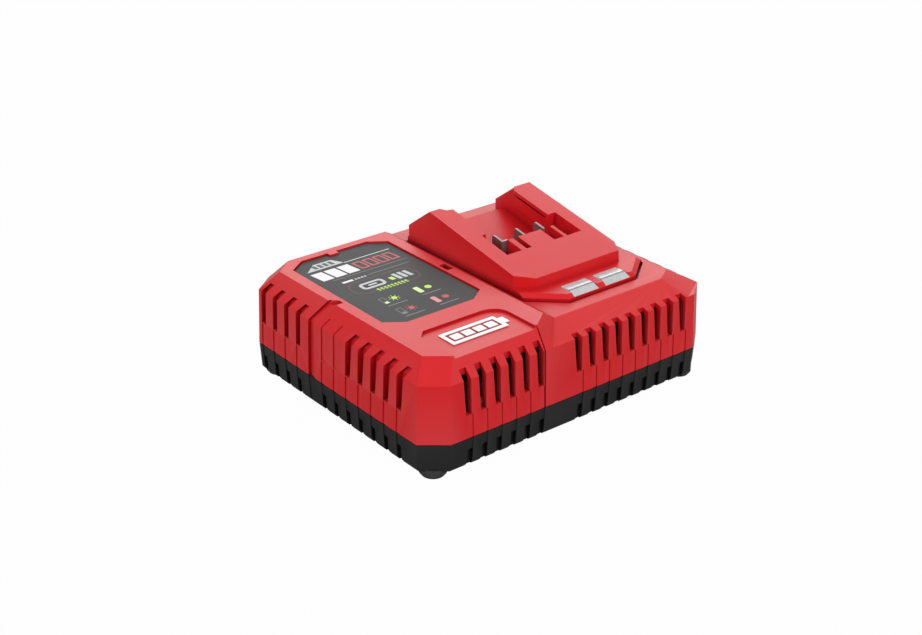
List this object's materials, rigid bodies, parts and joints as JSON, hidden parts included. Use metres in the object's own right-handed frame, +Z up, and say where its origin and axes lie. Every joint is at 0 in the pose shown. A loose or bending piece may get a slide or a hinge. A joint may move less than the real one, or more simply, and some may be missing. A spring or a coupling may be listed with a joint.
{
  "type": "power tool battery charger",
  "caption": "Desktop charger for slide-on tool batteries: red ribbed shell on a black base, sloping rail dock, status lenses.",
  "frame": {"origin": "on the table, under the middle of the footprint", "axes": "+X to the right seen from the front, +Y to the back (the open end of the dock), +Z up"},
  "size_m": [0.19, 0.159, 0.0797],
  "materials": {
    "red_shell": "fine-textured moulded plastic, satin",
    "black_base": "fine-textured moulded plastic, matt",
    "label_print": "printed film, satin",
    "pad_print": "pale printed inlay",
    "lens": "frosted clear plastic",
    "circuit_board": "solder mask, satin",
    "led": "clear epoxy",
    "dark_plastic": "moulded plastic",
    "white_plastic": "moulded plastic",
    "contact_metal": "plated, bright",
    "steel": "zinc plated",
    "aluminium": "extruded, bare",
    "ferrite": "ground ferrite",
    "copper_wire": "enamelled wire",
    "can_sleeve": "shrink sleeve",
    "film_case": "moulded box",
    "fuse_glass": "clear",
    "sheet_paper": "insulating board",
    "rubber": "matt rubber",
    "wire_red": "insulation",
    "wire_black": "insulation",
    "wire_white": "insulation"
  },
  "bodies": {
    "charger": {"upper_housing": "red_shell", "lower_housing": "black_base", "battery_dock": "red_shell", "label_plate": "label_print", "pad_pictogram": "pad_print", "status_lens_left": "lens", "status_lens_right": "lens", "status_board": "circuit_board", "status_leds": "led", "terminal_block": "dark_plastic", "contact_blade_positive": "contact_metal", "contact_blade_sense": "contact_metal", "contact_blade_negative": "contact_metal", "fan_frame": "dark_plastic", "fan_coil": "copper_wire", "main_board": "circuit_board", "insulating_sheet": "sheet_paper", "transformer_core": "ferrite", "transformer_bobbin": "dark_plastic", "transformer_winding": "copper_wire", "input_capacitor": "can_sleeve", "film_capacitor": "film_case", "output_capacitors": "can_sleeve", "heat_sink_primary": "aluminium", "heat_sink_secondary": "aluminium", "power_transistors": "dark_plastic", "rectifier_diodes": "dark_plastic", "input_choke_core": "ferrite", "input_choke_windings": "copper_wire", "output_choke_core": "ferrite", "output_choke_winding": "copper_wire", "bridge_rectifier": "dark_plastic", "fuse_tube": "fuse_glass", "fuse_caps": "steel", "mains_terminal": "white_plastic", "terminal_clamps": "steel", "controller_chip": "dark_plastic", "cord_gland": "rubber", "case_screws": "steel", "board_screws": "steel", "dock_screws": "steel", "terminal_screws": "steel", "status_screws": "steel", "foot_front_left": "rubber", "foot_front_right": "rubber", "foot_rear_left": "rubber", "foot_rear_right": "rubber", "wire_positive": "wire_red", "wire_sense": "wire_white", "wire_negative": "wire_black", "wire_status": "wire_white", "wire_fan": "wire_black"},
    "fan": {"fan_rotor": "dark_plastic"}
  },
  "joints": [
    {"name": "fan_spin", "type": "hinge", "parent": "charger", "child": "fan", "pos_m": [-0.043, -0.0684, 0.033], "axis": [0, 1, 0], "continuous": true}
  ]
}
